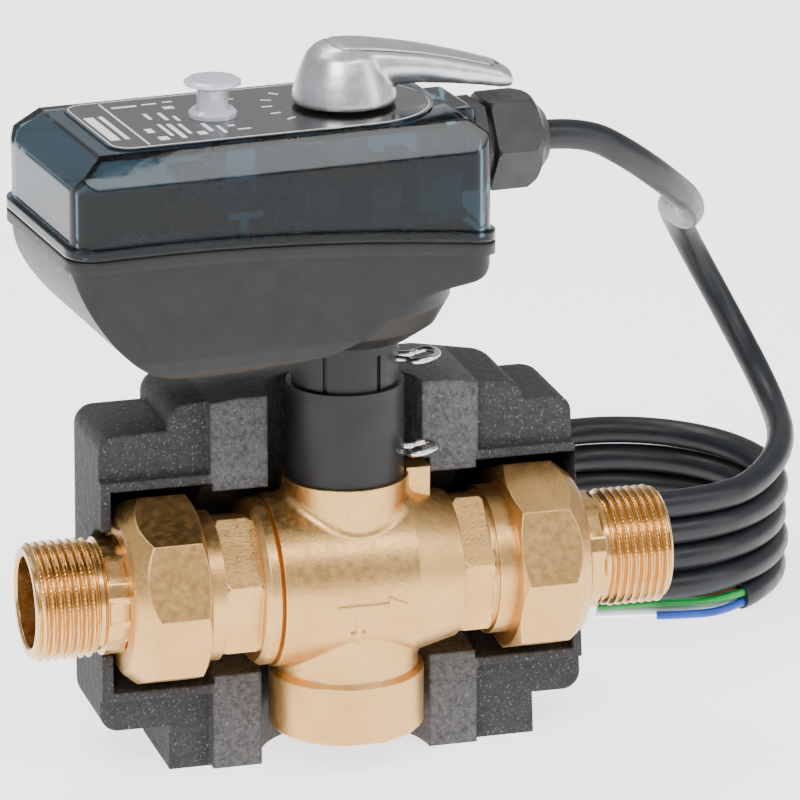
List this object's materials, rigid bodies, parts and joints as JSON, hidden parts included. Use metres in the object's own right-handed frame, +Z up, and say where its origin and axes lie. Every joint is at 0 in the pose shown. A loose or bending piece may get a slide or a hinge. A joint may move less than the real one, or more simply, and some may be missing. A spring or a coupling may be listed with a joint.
{
  "type": "motorised three-way diverter valve",
  "caption": "Motor-driven three-way brass ball valve with union tail-pieces, clear-topped actuator, hand lever, foam back shell and coiled mains cable.",
  "frame": {"origin": "centre of the base footprint of the valve with its shell, on the surface that the shell stands on; the cable is left out", "axes": "+Z up along the ball stem, +X along the pipe towards the right-hand tail-piece and the cable gland, -Y the open front of the foam shell"},
  "size_m": [0.2134, 0.1666, 0.1655],
  "materials": {
    "brass": "satin, lightly sand-blasted",
    "ball_chrome": "polished plating",
    "ptfe": "satin",
    "seal_rubber": "matte",
    "gasket_fibre": "matte",
    "foam": "granular expanded foam",
    "black_plastic": "satin",
    "spring_steel": "drawn wire",
    "housing_plastic": "fine satin grain",
    "smoked_cover": "glossy smoked",
    "label_black": "gloss print",
    "steel": "zinc plated",
    "white_plastic": "satin",
    "red_plastic": "semi-gloss",
    "board_green": "solder mask",
    "component_grey": "moulded",
    "component_black": "moulded",
    "terminal_teal": "moulded",
    "lever_silver": "satin silver paint",
    "button_white": "gloss",
    "gland_plastic": "satin",
    "cable_black": "smooth PVC",
    "core_green": "PVC",
    "core_brown": "PVC",
    "core_white": "PVC",
    "core_blue": "PVC"
  },
  "bodies": {
    "valve": {"valve_body": "brass", "end_connector": "brass", "tailpiece_left": "brass", "tailpiece_right": "brass", "seat_left": "ptfe", "seat_right": "ptfe", "seat_bottom": "ptfe", "connector_oring": "seal_rubber", "gasket_left": "gasket_fibre", "gasket_right": "gasket_fibre", "rear_insulation_shell": "foam", "adapter_sleeve": "black_plastic", "actuator_socket": "black_plastic", "lower_clip": "spring_steel", "upper_clip": "spring_steel", "lower_housing": "housing_plastic", "cover": "smoked_cover", "cover_gasket": "seal_rubber", "label_plate": "label_black", "shaft_bearing": "white_plastic", "motor": "steel", "gearbox_plate": "steel", "gear_axles": "steel", "plate_screws": "steel", "circuit_board": "board_green", "board_posts": "steel", "board_components": "component_grey", "microswitches": "component_black", "terminal_block": "terminal_teal", "button_bush": "button_white", "button_spring": "spring_steel", "button_bracket": "steel", "clutch_fork": "red_plastic", "gland_body": "gland_plastic", "gland_locknut": "gland_plastic", "gland_seal": "seal_rubber", "gland_nut": "gland_plastic", "cord_lead": "cable_black", "cord_coil": "cable_black", "wire_green": "core_green", "wire_brown": "core_brown", "wire_white": "core_white", "wire_blue": "core_blue"},
    "drive_line": {"ball": "ball_chrome", "stem": "brass", "stem_orings": "seal_rubber", "drive_coupling": "black_plastic", "output_shaft": "steel", "output_gear": "white_plastic", "cam": "red_plastic", "manual_lever": "lever_silver", "lever_insert": "lever_silver"},
    "clutch_wheel": {"gear_clutch": "white_plastic"},
    "first_wheel": {"gear_first": "white_plastic"},
    "motor_rotor": {"motor_pinion": "brass"},
    "button": {"release_button": "button_white"},
    "nut_left": {"union_nut_left": "brass"},
    "nut_right": {"union_nut_right": "brass"}
  },
  "joints": [
    {"name": "drive_turn", "type": "hinge", "parent": "valve", "child": "drive_line", "pos_m": [0, -0.00518, 0.0435], "axis": [0, 0, 1], "range_deg": [0, 90]},
    {"name": "clutch_turn", "type": "hinge", "parent": "valve", "child": "clutch_wheel", "pos_m": [-0.02989, -0.00779, 0.1215], "axis": [0, 0, 1], "range_deg": [-215, 5]},
    {"name": "first_turn", "type": "hinge", "parent": "valve", "child": "first_wheel", "pos_m": [-0.04535, 0.00139, 0.1185], "axis": [0, 0, 1], "range_deg": [-10, 1060]},
    {"name": "motor_turn", "type": "hinge", "parent": "valve", "child": "motor_rotor", "pos_m": [-0.04063, -0.01179, 0.1175], "axis": [0, 0, 1], "range_deg": [-3870, 20]},
    {"name": "button_press", "type": "slide", "parent": "valve", "child": "button", "axis": [0, 0, -1], "range_m": [0, 0.004], "stiffness_N_per_m": 250, "deforming": ["button_spring"]},
    {"name": "nut_left_turn", "type": "hinge", "parent": "valve", "child": "nut_left", "pos_m": [-0.0435, -0.00518, 0.0435], "axis": [-1, 0, 0], "continuous": true},
    {"name": "nut_right_turn", "type": "hinge", "parent": "valve", "child": "nut_right", "pos_m": [0.0435, -0.00518, 0.0435], "axis": [1, 0, 0], "continuous": true}
  ],
  "couplings": [
    {"joint": "clutch_turn", "follows": "drive_turn", "ratio": -2.3333},
    {"joint": "first_turn", "follows": "drive_turn", "ratio": 11.667},
    {"joint": "motor_turn", "follows": "drive_turn", "ratio": -42.778}
  ]
}
